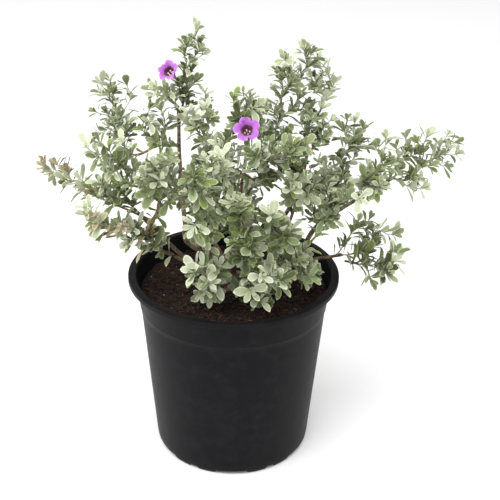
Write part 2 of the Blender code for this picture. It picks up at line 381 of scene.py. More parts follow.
def make_piece(
    name: str,
    places: np.ndarray,
    faces: list,
    finishes: list[Material],
    slots: list | np.ndarray | None = None,
) -> bpy.types.Object:
    """Make a smooth mesh piece that rides on the plant's one body.

    Args:
        name: the piece's name.
        places: its vertices, in millimetres.
        faces: vertex numbers, face by face.
        finishes: its materials.
        slots: each face's material number, where it has more than one.

    Returns:
        The new object.
    """
    mesh = bpy.data.meshes.new(name)
    mesh.from_pydata((np.asarray(places, float) * MM).tolist(), [], faces)
    for finish in finishes:
        mesh.materials.append(finish)
    if slots is not None:
        mesh.polygons.foreach_set("material_index", np.asarray(slots, np.int32))
    mesh.shade_smooth()
    mesh.update()
    piece = bpy.data.objects.new(name, mesh)
    bpy.context.scene.collection.objects.link(piece)
    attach(piece, ROOT)
    LOG.info("%s: %d faces", name, len(mesh.polygons))
    return piece


def ring_faces(rings: int, steps: int, start: int = 0) -> list[tuple[int, int, int, int]]:
    """The four-cornered faces between rings of vertices.

    Args:
        rings: how many rings there are.
        steps: how many vertices each ring has.
        start: the number of the first vertex.

    Returns:
        The faces, ring by ring.
    """
    faces = []
    for ring in range(rings - 1):
        for i in range(steps):
            a = start + ring * steps + i
            b = start + ring * steps + (i + 1) % steps
            faces.append((a, b, b + steps, a + steps))
    return faces


def turned_grid(profile: list[Range], steps: int) -> tuple[np.ndarray, list]:
    """Turn a profile about the upright axis.

    Args:
        profile: (radius, height) points, which run down the outer side.
        steps: how many columns go round.

    Returns:
        The vertices, ring by ring, and the faces between them, which look outward.
    """
    angles = np.arange(steps) * FULL_TURN / steps
    across, along = np.cos(angles), np.sin(angles)
    rows = [np.stack([r * across, r * along, np.full(steps, z)], axis=1) for r, z in profile]
    return np.vstack(rows), [(a, d, c, b) for a, b, c, d in ring_faces(len(profile), steps)]


def rounded(before: Range, corner: Range, after: Range, radius: float, count: int = 5) -> list[Range]:
    """Round a corner of a profile.

    Args:
        before: the point before it.
        corner: the sharp corner.
        after: the point after it.
        radius: how far from the corner the round starts.
        count: how many points it has.

    Returns:
        The points along the round.
    """
    middle = Vector(corner)
    start = middle + (Vector(before) - middle).normalized() * radius
    end = middle + (Vector(after) - middle).normalized() * radius
    shares = [i / (count - 1) for i in range(count)]
    return [tuple(start * (1 - t) ** 2 + middle * 2 * t * (1 - t) + end * t * t) for t in shares]


@dataclass(frozen=True)
class View:
    """The photograph's viewpoint, from a camera fitted to the pot's rim, step and base."""

    position: Place = (0.0, -1055.9, 776.7)
    aim: Place = (17.0, 0.0, 231.6)
    roll: float = 0.961
    focal_length: float = 80.82
    sensor_width: float = 36.0
    clip: Range = (0.01, 50.0)

    def turn(self) -> Quaternion:
        """The camera's rotation."""
        ahead = Vector(self.aim) - Vector(self.position)
        return ahead.to_track_quat("-Z", "Y") @ Quaternion(UP, math.radians(self.roll))

    def make(self) -> None:
        """Make the scene's camera."""
        camera = bpy.data.cameras.new("camera")
        camera.lens = self.focal_length
        camera.sensor_width = self.sensor_width
        camera.clip_start, camera.clip_end = self.clip
        holder = bpy.data.objects.new("camera", camera)
        holder.location = Vector(self.position) * MM
        holder.rotation_mode = "QUATERNION"
        holder.rotation_quaternion = self.turn()
        bpy.context.scene.collection.objects.link(holder)
        bpy.context.scene.camera = holder

    def ray(self, seen_at: tuple[float, float]) -> Vector:
        """The direction in which a place of the photograph is seen.

        Args:
            seen_at: its pixel, across and down.

        Returns:
            A unit vector from the camera.
        """
        pixels = self.focal_length / self.sensor_width * IMAGE_SIDE
        across = (seen_at[0] - IMAGE_SIDE / 2) / pixels
        up = (IMAGE_SIDE / 2 - seen_at[1]) / pixels
        return (self.turn() @ Vector((across, up, -1.0))).normalized()


@dataclass(frozen=True)
class Studio:
    """A plain pale floor under soft light from a wide panel above, two at the sides and an even sky."""

    floor_side: float = 12.0
    floor_tones: tuple[str, str] = ("#f4f4f4", "#f8f8f8")
    paper_tooth: float = 3.0
    sky_strength: float = 0.85
    aim: Place = (0.0, 0.0, 0.25)
    # Each panel's name, place and side in metres, and power in watts
    panels: tuple = (
        ("panel_above", (-0.45, -0.85, 1.9), 1.5, 34.0),
        ("panel_left", (-1.7, -0.1, 0.75), 0.9, 12.0),
        ("panel_right", (1.7, -0.1, 0.75), 0.9, 10.0),
    )

    def make(self) -> None:
        """Make the floor, the even sky and the soft panels."""
        mesh = bpy.data.meshes.new("floor")
        half = self.floor_side / 2
        corners = [(-half, -half, 0), (half, -half, 0), (half, half, 0), (-half, half, 0)]
        mesh.from_pydata(corners, [], [(0, 1, 2, 3)])
        material, tree = start_material("matt_white_paper", {"Roughness": 0.9})
        tooth = object_noise(tree, self.paper_tooth, detail=2.0)
        dress_surface(tree, tones=(tooth, (0.0, 1.0), *self.floor_tones))
        mesh.materials.append(material)
        floor = bpy.data.objects.new("floor", mesh)
        bpy.context.scene.collection.objects.link(floor)
        world = bpy.data.worlds.new("even_sky")
        world.use_nodes = True
        sky = world.node_tree.nodes["Background"]
        sky.inputs["Color"].default_value = (1.0, 1.0, 1.0, 1.0)
        sky.inputs["Strength"].default_value = self.sky_strength
        bpy.context.scene.world = world
        bpy.context.scene.view_settings.view_transform = "Standard"
        for name, place, side, power in self.panels:
            self.hang_panel(name, place, side, power)

    def hang_panel(self, name: str, place: Place, side: float, power: float) -> None:
        """Hang a square soft light that faces the crown.

        Args:
            name: the light's name.
            place: where it hangs, in metres.
            side: its side, in metres.
            power: its power, in watts.
        """
        light = bpy.data.lights.new(name, "AREA")
        light.shape = "SQUARE"
        light.size = side
        light.energy = power
        holder = bpy.data.objects.new(name, light)
        holder.location = place
        holder.rotation_mode = "QUATERNION"
        holder.rotation_quaternion = (Vector(self.aim) - Vector(place)).to_track_quat("-Z", "Y")
        bpy.context.scene.collection.objects.link(holder)


@dataclass(frozen=True)
class NurseryPot:
    """The moulded pot, with its rounded rim, skirt, collar step and drain notches."""

    height: float = 206.4
    rim_radius: float = 112.5
    rim_band: float = 8.0
    lip_slope: Range = (1.4, 3.2)
    skirt_drop: float = 5.6
    skirt_wall: float = 1.4
    rim_thickness: float = 2.2
    # How far from each corner of the rim's outline its round starts, from the inner edge to the collar
    rim_rounds: tuple = (1.2, 1.3, 0.5, 0.5, 0.4, 1.0)
    wall: float = 1.8
    collar_top_radius: float = 103.4
    collar_foot: Range = (100.8, 172.4)
    ledge_turns: tuple = ((100.7, 171.9), (99.9, 171.1), (99.2, 165.0))
    step_foot: Range = (98.9, 162.0)
    base_round: tuple = ((85.6, 13.0), (84.9, 7.0), (84.2, 4.0), (83.0, 1.2), (82.2, 0.4), (81.0, 0.0))
    floor: float = 2.0
    floor_radius: float = 80.0
    notch_height: float = 4.5
    notch_inner_radius: float = 59.0
    notch_back: float = 0.5
    # Degrees round the base: the pattern's pitch, half of a wide and of a narrow notch, and a slanted end
    notch_pitch: float = 60.0
    wide_notch: float = 10.5
    narrow_notch: float = 2.0
    notch_slope: float = 2.2
    sharp_angle: float = 50.0
    steps: int = 240

    def profile(self) -> list[Range]:
        """Draw the outline from the floor's middle up the inside, over the rim and down to the underside.

        Returns:
            Its (radius, height) points.
        """
        inner = self.rim_radius - self.rim_band
        skirt = self.rim_radius - self.skirt_wall
        rim = [
            (inner - self.lip_slope[0], self.height - self.lip_slope[1]),
            (inner, self.height),
            (self.rim_radius, self.height),
            (self.rim_radius, self.height - self.skirt_drop),
            (skirt, self.height - self.skirt_drop),
            (skirt, self.height - self.rim_thickness),
            (self.collar_top_radius, self.height - self.rim_thickness),
            self.collar_foot,
        ]
        smooth = [rim[0]]
        for before, corner, after, radius in zip(rim, rim[1:], rim[2:], self.rim_rounds, strict=False):
            smooth += rounded(before, corner, after, radius)
        inside = [(TINY, self.floor), (self.notch_inner_radius, self.floor), (self.floor_radius, self.floor)]
        for radius, height in (self.base_round[0], self.step_foot, self.collar_foot):
            inside.append((radius - self.wall, height))
        outside = [self.collar_foot, *self.ledge_turns, self.step_foot, *self.base_round]
        underside = [(self.notch_inner_radius + self.notch_back, 0.0), (self.notch_inner_radius, 0.0)]
        return inside + smooth + outside + underside + [(TINY, 0.0)]

    def notch_share(self, angle: float) -> float:
        """Work out how far the base is lifted.

        Args:
            angle: degrees round the base from the front.

        Returns:
            The lift, from 0 on a foot to 1 in a notch.
        """
        slope = self.notch_slope
        turned = angle % self.notch_pitch
        from_wide = min(turned, self.notch_pitch - turned)
        wide = (self.wide_notch + slope - from_wide) / slope
        narrow = (self.narrow_notch + slope - abs(turned - self.notch_pitch / 2)) / slope
        return min(1.0, max(0.0, wide, narrow))

    def make(self) -> None:
        """Make the pot and lift its drain notches."""
        places, faces = turned_grid(self.profile(), self.steps)
        radii = np.hypot(places[:, 0], places[:, 1])
        # The front of the pot looks along -Y, which is at -90 degrees
        angles = np.degrees(np.arctan2(places[:, 1], places[:, 0])) + 90.0
        for i in np.nonzero(radii > self.notch_inner_radius - TINY)[0]:
            share = self.notch_share(float(angles[i]))
            if abs(places[i, 2] - self.floor) < TINY:
                places[i, 2] += self.notch_height * share
            elif places[i, 2] < self.notch_height:
                places[i, 2] += (self.notch_height - places[i, 2]) * share
        piece = make_piece("pot_shell", places, faces, [MouldedPolypropylene().material()])
        piece.data.set_sharp_from_angle(angle=math.radians(self.sharp_angle))
        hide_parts("pot")


def icosahedron() -> tuple[np.ndarray, np.ndarray]:
    """Make a regular twenty-sided lump of unit radius.

    Returns:
        Its corners and its faces.
    """
    corners = []
    for a in (-1.0, 1.0):
        for b in (-GOLDEN_RATIO, GOLDEN_RATIO):
            corners += [(0.0, a, b), (a, b, 0.0), (b, 0.0, a)]
    size = math.hypot(1.0, GOLDEN_RATIO)
    places = np.array(corners) / size
    # Neighbours are 2 / size apart, and all others are farther apart than 3 / size
    is_near = np.linalg.norm(places[:, None] - places[None], axis=2) < 3.0 / size
    faces = []
    for i, j, k in combinations(range(len(places)), 3):
        if is_near[i, j] and is_near[j, k] and is_near[i, k]:
            normal = np.cross(places[j] - places[i], places[k] - places[i])
            faces.append((i, j, k) if normal @ places[i] > 0 else (i, k, j))
    return places, np.array(faces)


@dataclass(frozen=True)
class Litter:
    """One kind of loose bits on the soil: their number, their sizes and the mixes that they are made of."""

    name: str
    count: int
    lengths: Range
    breadths: Range
    heights: Range
    # Each mix's share of the bits, name, dark tone and light tone
    mixes: tuple
    unevenness: Range = (0.75, 1.15)
    # The most tilt, about a nearly level axis, and how much of a bit's height its middle is raised
    tilt: float = 0.5
    axis_rise: float = 0.2
    rise: float = 0.35

    def finishes(self) -> list[Material]:
        """The mixes' materials."""
        return [PottingMix(*mix[1:]).material() for mix in self.mixes]

    def choose(self, draw: random.Random) -> int:
        """Draw a mix's number by its share."""
        return draw.choices(range(len(self.mixes)), [mix[0] for mix in self.mixes])[0]


LITTER = (
    Litter(
        "bark_chips",
        1500,
        (1.6, 5.0),
        (0.35, 0.6),
        (0.2, 0.4),
        (
            (0.62, "dark_bark_chip", "#1a100b", "#38261b"),
            (0.3, "reddish_bark_chip", "#2a1710", "#4a2f21"),
            (0.08, "weathered_bark_chip", "#3a2c22", "#5d4a3b"),
        ),
    ),
    Litter(
        "soil_crumbs",
        2600,
        (0.7, 1.9),
        (0.6, 1.0),
        (0.5, 0.9),
        ((0.7, "dark_crumb", "#120b08", "#2a1b14"), (0.3, "brown_crumb", "#26170f", "#402a1e")),
    ),
    Litter(
        "pale_grains",
        40,
        (0.5, 1.0),
        (0.7, 1.0),
        (0.6, 0.9),
        ((1.0, "pale_grain", "#8c8478", "#c8c2b4"),),
    ),
)


@dataclass(frozen=True)
class Soil:
    """The root ball: a moist crumbly surface with bark chips, crumbs, fibres and a few pale grains."""

    edge_radius: float = 99.6
    # The root ball's side and foot, inside the pot's wall
    side: tuple = ((99.0, 172.4), (96.2, 160.0), (83.5, 14.0), (80.0, 6.8), (TINY, 6.8))
    settled: float = 0.4
    swell: float = 2.2
    # Lumps of three sizes and how high each stands
    lumps: tuple = ((14.0, 1.0), (4.5, 0.45), (2.0, 0.3))
    steps: int = 180
    rings: int = 70
    litter_margin: float = 3.0
    fibres: int = 420
    # How far inside the edge a fibre starts and ends, and its height at its ends and more at its middle
    fibre_margins: Range = (6.0, 2.0)
    fibre_points: int = 6
    fibre_rises: Range = (0.7, 0.9)
    fibre_turn: float = 0.5
    fibre_steps: Range = (1.0, 2.6)
    fibre_radii: Range = (0.16, 0.34)
    seed: int = 11

    def level(self, x: float, y: float) -> float:
        """Work out the height of the surface at a place.

        Args:
            x: how far right the place is.
            y: how far back it is.

        Returns:
            The height.
        """
        place = Vector((x, y, 0.0))
        rough = sum(share * noise.noise(place / size) for size, share in self.lumps)
        return SOIL_TOP - self.settled + self.swell * rough

    def spot(self, draw: random.Random, margin: float) -> tuple[float, float]:
        """Draw a place on the surface, evenly by area.

        Args:
            draw: the source of seeded chance.
            margin: how much is left free at the edge.

        Returns:
            The place, right and back.
        """
        radius = (self.edge_radius - margin) * math.sqrt(draw.random())
        angle = draw.uniform(0.0, FULL_TURN)
        return radius * math.cos(angle), radius * math.sin(angle)

    def make(self) -> None:
        """Make the surface and what lies on it."""
        profile = [(float(radius), SOIL_TOP) for radius in np.linspace(TINY, self.edge_radius, self.rings)]
        places, faces = turned_grid([*profile, *self.side], self.steps)
        for i in range(self.rings * self.steps):
            places[i, 2] = self.level(places[i, 0], places[i, 1])
        mix = PottingMix("moist_potting_mix", "#140d0a", "#33221a").material()
        piece = make_piece("soil_surface", places, faces, [mix])
        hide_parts("root_ball")
        draw = random.Random(self.seed)
        for litter in LITTER:
            self.scatter(litter, draw)
        self.lay_fibres(draw)

    def scatter(self, litter: Litter, draw: random.Random) -> None:
        """Scatter one kind of bits over the surface.

        Args:
            litter: the kind.
            draw: the source of seeded chance.
        """
        base, sides = icosahedron()
        places, faces, slots = [], [], []
        for i in range(litter.count):
            x, y = self.spot(draw, self.litter_margin)
            long = draw.uniform(*litter.lengths)
            broad, high = (long * draw.uniform(*span) for span in (litter.breadths, litter.heights))
            size = np.array((long, broad, high))
            uneven = np.array([[draw.uniform(*litter.unevenness) for _ in range(3)] for _ in base])
            axis = (draw.uniform(-1, 1), draw.uniform(-1, 1), litter.axis_rise)
            tilt = Quaternion(axis, draw.uniform(-litter.tilt, litter.tilt))
            turn = np.array((tilt @ Quaternion(UP, draw.uniform(0.0, FULL_TURN))).to_matrix())
            middle = np.array((x, y, self.level(x, y) + size[2] * litter.rise))
            places.append((base * uneven * size) @ turn.T + middle)
            faces.append(sides + i * len(base))
            slots += [litter.choose(draw)] * len(sides)
        corners, triangles = np.vstack(places), np.vstack(faces).tolist()
        piece = make_piece(litter.name, corners, triangles, litter.finishes(), slots)
        piece.data.shade_flat()

    def lay_fibres(self, draw: random.Random) -> None:
        """Lay thin bent fibres on the surface.

        Args:
            draw: the source of seeded chance.
        """
        tubes = Tubes(sides=3)
        low, arch = self.fibre_rises
        for _ in range(self.fibres):
            place = Vector((*self.spot(draw, self.fibre_margins[0]), 0.0))
            heading = draw.uniform(0.0, FULL_TURN)
            points = []
            for i in range(self.fibre_points):
                rise = low + arch * math.sin(i / (self.fibre_points - 1) * math.pi) * draw.random()
                points.append(Vector((place.x, place.y, self.level(place.x, place.y) + rise)))
                heading += draw.uniform(-self.fibre_turn, self.fibre_turn)
                ahead = Vector((math.cos(heading), math.sin(heading), 0.0))
                place += ahead * draw.uniform(*self.fibre_steps)
                if place.length > self.edge_radius - self.fibre_margins[1]:
                    break
            if len(points) > 2:
                thick = draw.uniform(*self.fibre_radii)
                # Two of three fibres are brown, and the third is tan
                tubes.add(points, [thick] * (len(points) - 1) + [thick / 2], draw.choice((0, 0, 1)))
        finishes = [
            PottingMix("brown_fibre", "#3a2417", "#5e4029").material(),
            PottingMix("tan_fibre", "#6a4c33", "#8e6d4e").material(),
        ]
        piece = tubes.piece("soil_fibres", finishes)


@dataclass
class Tubes:
    """Round stems gathered into one mesh."""

    sides: int = 6
    # The relief: how fast its ridges change round the stem, their length, and its lumps' size and share
    ridges: float = 2.6
    ridge_length: float = 9.0
    lump: float = 3.2
    lump_share: float = 0.6
    places: list = field(default_factory=list)
    faces: list = field(default_factory=list)
    slots: list = field(default_factory=list)

    def add(self, points: list[Vector], radii: list[float], slot: int = 0, relief: float = 0.0) -> None:
        """Add one stem with a closed tip and foot.

        Args:
            points: its middle line.
            radii: its radius at each point.
            slot: its material's number.
            relief: how much its surface is ridged, as a share of its radius.
        """
        across = (points[1] - points[0]).normalized().orthogonal().normalized()
        start = len(self.places)
        last = len(points) - 1
        for i, (point, radius) in enumerate(zip(points, radii, strict=True)):
            ahead = (points[min(i + 1, last)] - points[max(i - 1, 0)]).normalized()
            across = (across - ahead * across.dot(ahead)).normalized()
            beside = ahead.cross(across)
            for side in range(self.sides):
                angle = side * FULL_TURN / self.sides
                outward = across * math.cos(angle) + beside * math.sin(angle)
                spread = radius
                if relief:
                    around = (outward.x * self.ridges, outward.y * self.ridges)
                    ridge = noise.noise(Vector((*around, point.length / self.ridge_length)))
                    lump = noise.noise((point + outward * radius) / self.lump)
                    spread += radius * relief * (ridge + self.lump_share * lump)
                self.places.append(point + outward * spread)
        self.faces += ring_faces(last + 1, self.sides, start)
        self.faces.append(tuple(start + side for side in reversed(range(self.sides))))
        self.faces.append(tuple(start + last * self.sides + side for side in range(self.sides)))
        self.slots += [slot] * (last * self.sides + 2)

    def piece(self, name: str, finishes: list[Material]) -> bpy.types.Object:
        """Make the gathered stems one piece."""
        return make_piece(name, np.array(self.places), self.faces, finishes, self.slots)


@dataclass(frozen=True)
class Limb:
    """One tapering limb: where it leaves the trunk, the places it passes and its thickness at both ends."""

    leaves_at: tuple
    through: tuple
    base_radius: float
    tip_radius: float

    def is_on_trunk(self) -> bool:
        """Whether it leaves the trunk, rather than another limb."""
        return len(self.leaves_at) == 2


# The limbs of the solid model, in its order. Each leaves the trunk at a heading in degrees and a height, or
# another limb at a place
LIMBS = {
    "bough_left_stem": Limb(
        (172, 30), ((-48, 5, 237), (-52, 10, 260), (-57, 22, 315), (-58, 29, 376)), 3.4, 1.7
    ),
    "bough_left_mid": Limb((196, 19), ((-48, -8, 224), (-80, -8, 256), (-103, -13, 285)), 2.8, 1.6),
    "bough_left_long": Limb((-83, 2, 262), ((-99, 5, 269), (-115, 8, 275), (-132, 11, 281)), 1.6, 1.0),
    "bough_left_low": Limb((212, 8), ((-28, -12, 208), (-50, -15, 224), (-68, -18, 237)), 2.4, 1.7),
    "bough_right_arm": Limb(
        (352, 24), ((60, 0, 221), (88, 4, 260), (116, 6, 281), (163, 5, 314)), 3.2, 1.6
    ),
    "bough_right_low": Limb((12, 12), ((60, 9, 209), (81, 12, 214), (117, 15, 219)), 2.4, 1.6),
    "bough_right_low_twig": Limb((119, 9, 215), ((127, 9, 213), (134, 9, 212)), 1.2, 0.9),
    "bough_right_spire": Limb(
        (28, 32), ((30, 12, 242), (55, 16, 268), (69, 22, 301), (75, 25, 330)), 2.8, 1.8
    ),
    "bough_centre": Limb((80, 37), ((3, 12, 246), (7, 14, 297), (14, -9, 363)), 2.4, 1.4),
    "bough_front_left": Limb((248, 9), ((-14, -24, 201), (-20, -38, 204)), 2.0, 1.4),
    "bough_front_right": Limb((302, 9), ((14, -22, 200), (22, -36, 203)), 2.0, 1.4),
    "bough_front_mid": Limb((274, 27), ((4, -24, 228), (10, -38, 238)), 2.2, 1.6),
    "bough_back_left": Limb((128, 22), ((-28, 38, 232), (-52, 56, 260)), 2.6, 1.7),
    "bough_back_right": Limb((52, 20), ((24, 36, 228), (46, 54, 258), (76, 64, 262)), 2.6, 1.7),
}


def smooth_path(stops: list, count: int) -> list[Vector]:
    """Read evenly counted points from a smooth curve.

    Args:
        stops: the places the curve passes.
        count: how many points to read.

    Returns:
        The points, ends included.
    """
    stops = [Vector(stop) for stop in stops]
    ends = [stops[0] * 2 - stops[1], *stops, stops[-1] * 2 - stops[-2]]
    spans = len(stops) - 1
    path = []
    for i in range(count):
        along = i / (count - 1) * spans
        span = min(int(along), spans - 1)
        t = along - span
        a, b, c, d = ends[span : span + 4]
        place = 2 * b + (c - a) * t + (2 * a - 5 * b + 4 * c - d) * t * t
        path.append(0.5 * (place + (3 * b - a - 3 * c + d) * t**3))
    return path


@dataclass
class Limbs:
    """The trunk and the boughs, in rough bark."""

    trunk_height: float = 42.0
    trunk_radius: float = 5.6
    trunk_top_radius: float = 4.6
    flare_radius: float = 12.0
    flare_height: float = 14.0
    lean: Place = (-4.0, 3.0, 0.0)
    # A bough's solid starts this far outside the trunk, and its bark is rooted inside it, a little thicker
    clearance: float = 0.6
    root_swell: float = 1.3
    points: int = 40
    relief: float = 0.16
    paths: dict = field(default_factory=dict)

    def trunk_centre(self, height: float) -> Vector:
        """The middle of the trunk at a height above the soil."""
        share = height / self.trunk_height
        return Vector((0.0, 0.0, SOIL_TOP + height)) + Vector(self.lean) * share * share

    def trunk_radius_at(self, height: float) -> float:
        """Work out how thick the trunk is.

        Args:
            height: the height above the soil.

        Returns:
            The trunk's radius there.
        """
        taper = self.trunk_radius + (self.trunk_top_radius - self.trunk_radius) * height / self.trunk_height
        spread = max(0.0, 1.0 - height / self.flare_height)
        return taper + (self.flare_radius - self.trunk_radius) * spread * spread

    def start_of(self, limb: Limb) -> Vector:
        """Find where a limb begins, on the trunk's side or at its own place.

        Args:
            limb: the limb.

        Returns:
            The place.
        """
        if not limb.is_on_trunk():
            return Vector(limb.leaves_at)
        heading, height = limb.leaves_at
        outward = Vector((math.cos(math.radians(heading)), math.sin(math.radians(heading)), 0.0))
        reach = self.trunk_radius_at(height) + limb.base_radius + self.clearance
        return self.trunk_centre(height) + outward * reach

    def make(self) -> None:
        """Make the trunk and the boughs, each bough rooted in the wood that carries it."""
        tubes = Tubes(sides=14)
        last = self.points - 1
        heights = [self.trunk_height * i / last for i in range(self.points)]
        self.paths["trunk"] = [self.trunk_centre(height) for height in heights]
        tubes.add(self.paths["trunk"], [self.trunk_radius_at(height) for height in heights], 0, self.relief)
        for name, limb in LIMBS.items():
            path = smooth_path([self.start_of(limb), *limb.through], self.points)
            gain = limb.tip_radius - limb.base_radius
            radii = [limb.base_radius + gain * i / last for i in range(self.points)]
            self.paths[name] = path
            if limb.is_on_trunk():
                path = [self.trunk_centre(limb.leaves_at[1]), *path]
                radii = [limb.base_radius * self.root_swell, *radii]
            tubes.add(path, radii, 0, self.relief)
        piece = tubes.piece("bark_limbs", [Bark("young_bark", "#2c2017", "#85725a").material()])
        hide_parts("trunk", *LIMBS)


# Tips of shoots as the photograph shows them, in its pixels, by the mass of foliage that they belong to
SEEN_TIPS = {
    "foliage_spire_tip": ((197, 29), (187, 46), (205, 53), (190, 62), (199, 42)),
    "foliage_spire_body": ((181, 84), (194, 82), (205, 92), (207, 102), (170, 98), (184, 98)),
    "foliage_spire_left": ((151, 88), (157, 94)),
    "foliage_spire_low_left": ((150, 108), (159, 104), (150, 122), (142, 130), (162, 138), (170, 120)),
    "foliage_spire_low_right": ((193, 113), (205, 108), (212, 118), (200, 126), (184, 120)),
    "foliage_upper_left": (
        (109, 79), (100, 83), (126, 83), (99, 92), (131, 98), (113, 103), (96, 112), (107, 126),
        (121, 117), (99, 133), (118, 135), (112, 92), (128, 126),
    ),
    "foliage_left_mid": (
        (87, 148), (99, 142), (96, 158), (109, 150), (131, 153), (119, 163), (130, 176), (108, 168),
        (122, 142),
    ),
    "foliage_left_mid_low": ((103, 184), (117, 182), (112, 194), (126, 196), (132, 206)),
    "foliage_left_arm": (
        (44, 161), (43, 166), (57, 164), (52, 172), (68, 171), (66, 180), (81, 180), (84, 188), (96, 194),
    ),
    "foliage_low_left": (
        (90, 208), (86, 214), (98, 221), (108, 226), (121, 222), (119, 233), (134, 226), (130, 241),
        (150, 241), (161, 250), (144, 233),
    ),
    "foliage_front_left": (
        (150, 172), (142, 182), (160, 164), (169, 156), (171, 178), (152, 192), (166, 196),
    ),
    "foliage_front_mid_a": ((193, 186), (186, 178), (200, 180), (190, 198), (200, 206)),
    "foliage_front_mid_b": ((212, 164), (220, 156), (210, 178), (222, 172), (205, 158)),
    "foliage_front_low_a": ((202, 218), (194, 226), (212, 224), (200, 236)),
    "foliage_front_low_b": (
        (203, 266), (194, 272), (214, 270), (206, 282), (200, 292), (212, 296), (220, 284),
    ),
    "foliage_front_mid_c": ((235, 203), (226, 208), (245, 208), (238, 218), (230, 222)),
    "foliage_front_mid_d": ((243, 240), (232, 244), (252, 242), (242, 254)),
    "foliage_front_low_d": (
        (258, 278), (246, 280), (272, 276), (265, 290), (252, 294), (240, 288), (280, 282), (262, 300),
    ),
    "foliage_front_right_a": ((272, 222), (262, 230), (284, 230), (290, 240), (276, 242), (270, 214)),
    "foliage_front_right_b": ((292, 262), (302, 260), (284, 266), (296, 272)),
    "foliage_flower_shoot": (
        (243, 94), (233, 100), (251, 97), (259, 106), (244, 110), (236, 119), (262, 112), (232, 128),
        (254, 108),
    ),
    "foliage_centre_high": ((272, 108), (280, 112), (262, 124), (276, 128), (266, 138), (284, 140)),
    "foliage_centre_b": ((228, 142), (220, 148), (236, 150), (226, 162)),
    "foliage_centre_c": ((261, 152), (252, 158), (268, 160), (258, 170)),
    "foliage_centre_d": ((291, 150), (282, 146), (300, 148), (288, 160), (298, 164), (276, 156)),
    "foliage_centre_e": ((296, 180), (288, 186), (304, 190), (292, 198)),
    "foliage_right_tip": ((304, 50), (312, 52), (317, 58), (308, 64), (301, 72), (311, 78)),
    "foliage_right_tip_left": ((284, 59), (290, 64), (276, 72), (281, 80), (274, 90), (288, 84)),
    "foliage_right_tip_right": ((321, 68), (328, 75), (334, 83), (331, 92), (319, 86), (324, 98)),
    "foliage_right_body": (
        (300, 94), (309, 104), (293, 108), (322, 108), (331, 120), (301, 124), (316, 118), (318, 138),
        (308, 136), (328, 134),
    ),
    "foliage_right_mid": (
        (347, 119), (344, 131), (355, 121), (363, 128), (360, 141), (371, 145), (350, 148), (340, 158),
        (354, 158),
    ),
    "foliage_right_in": ((325, 178), (316, 184), (338, 184), (330, 192), (310, 176), (344, 176)),
    "foliage_right_arm_base": ((352, 194), (342, 200), (334, 206), (326, 214), (360, 198), (318, 222)),
    "foliage_right_arm_in": (
        (386, 138), (376, 148), (396, 148), (382, 160), (368, 166), (392, 166), (374, 180), (364, 188),
        (400, 156),
    ),
    "foliage_right_arm_mid": (
        (405, 137), (418, 142), (427, 136), (410, 152), (424, 152), (430, 166), (418, 176), (408, 186),
        (422, 188), (398, 174),
    ),
    "foliage_right_arm_tip": ((456, 143), (448, 134), (457, 154), (440, 146), (436, 158), (446, 166)),
    "foliage_right_low": (
        (352, 232), (367, 228), (380, 231), (394, 235), (370, 219), (358, 222), (375, 246), (366, 254),
        (344, 244),
    ),
    "foliage_right_low_tip": ((394, 252), (397, 261), (387, 273), (371, 279), (362, 264), (380, 264)),
}


@dataclass(frozen=True)
class Habit:
    """How the plant's shoots and leaves grow."""

    seed: int = 5
    # Shoots: how far apart their places are, the shortest one, and the surface of a mass for each hidden tip
    step: float = 5.0
    shortest_shoot: float = 13.0
    shoot_spacing: float = 700.0
    depth_play: float = 6.0
    hidden_depths: Range = (0.45, 0.9)
    fork_height: float = 215.0
    # A shoot's way: the cost of a turn back, the gain of going straight on, and the cost of a short shoot
    turn_cost: float = 1.45
    straight_gain: float = 0.65
    short_cost: float = 6.0
    # Only every so many places of a limb carry shoots
    limb_stride: int = 3
    # Shares of a shoot's way: onward, direct and aside where it leaves, and up and aside at its tip
    leaving: Place = (0.9, 1.2, 0.25)
    arriving: Range = (0.55, 0.2)
    side_rises: Range = (-0.4, 0.6)
    # Wood: a stem's radius to the pipe power is the sum of what it carries
    tip_radius: float = 0.42
    thickest_twig: float = 2.0
    pipe_power: float = 2.4
    old_from: float = 1.9
    twig_relief: float = 0.12
    # Leaves along a shoot, and the rosette at its tip, whose inner leaves are small and stand up
    leaf_spacing: float = 4.7
    leafy_reach: float = 34.0
    leafy_share: float = 0.85
    below_tip: float = 3.0
    side_leans: Range = (48.0, 78.0)
    side_sizes: Range = (0.55, 1.05)
    rosette: int = 6
    rosette_depth: float = 3.2
    rosette_lean: float = 66.0
    rosette_rise: float = 46.0
    lean_play: float = 9.0
    rosette_shrink: float = 0.5
    turn_play: float = 0.25
    light_pull: float = 0.3
    roll_play: float = 0.35
    lift_play: Range = (-0.08, 0.22)
    vigours: Range = (0.82, 1.12)
    leaf_length: Range = (14.0, 24.0)
    leaf_breadth: Range = (0.38, 0.52)
    bends: Range = (-0.25, 0.65)
    folds: Range = (0.06, 0.5)
    ripples: Range = (0.0, 0.05)
    # Leaves are a fifth smaller above a height, and shrink from here over this height
    shrink: float = 0.2
    shrink_from: float = 260.0
    shrink_over: float = 80.0
    # Tones: how likely each is, from the lightest, how low shoots trade sage sprays for fresh green and
    # painted shade, and where old beige leaves hang on
    silver_share: float = 0.38
    pale_share: float = 0.68
    sage_share: float = 0.98
    low_sage_loss: float = 0.12
    low_from: float = 300.0
    low_over: float = 110.0
    fresh_share: float = 0.55
    aged_masses: tuple[str, str] = ("foliage_low_left", "foliage_left_arm")
    aged_share: float = 0.35
    # Painted shade: sprays spread inside a mass, and some lone leaves below a rosette, are drawn in darker
    # tones more often
    inner_painted_shade_bias: float = 0.2
    lone_leaf_share: float = 0.4
    lone_leaf_painted_shade_bias: float = 0.25


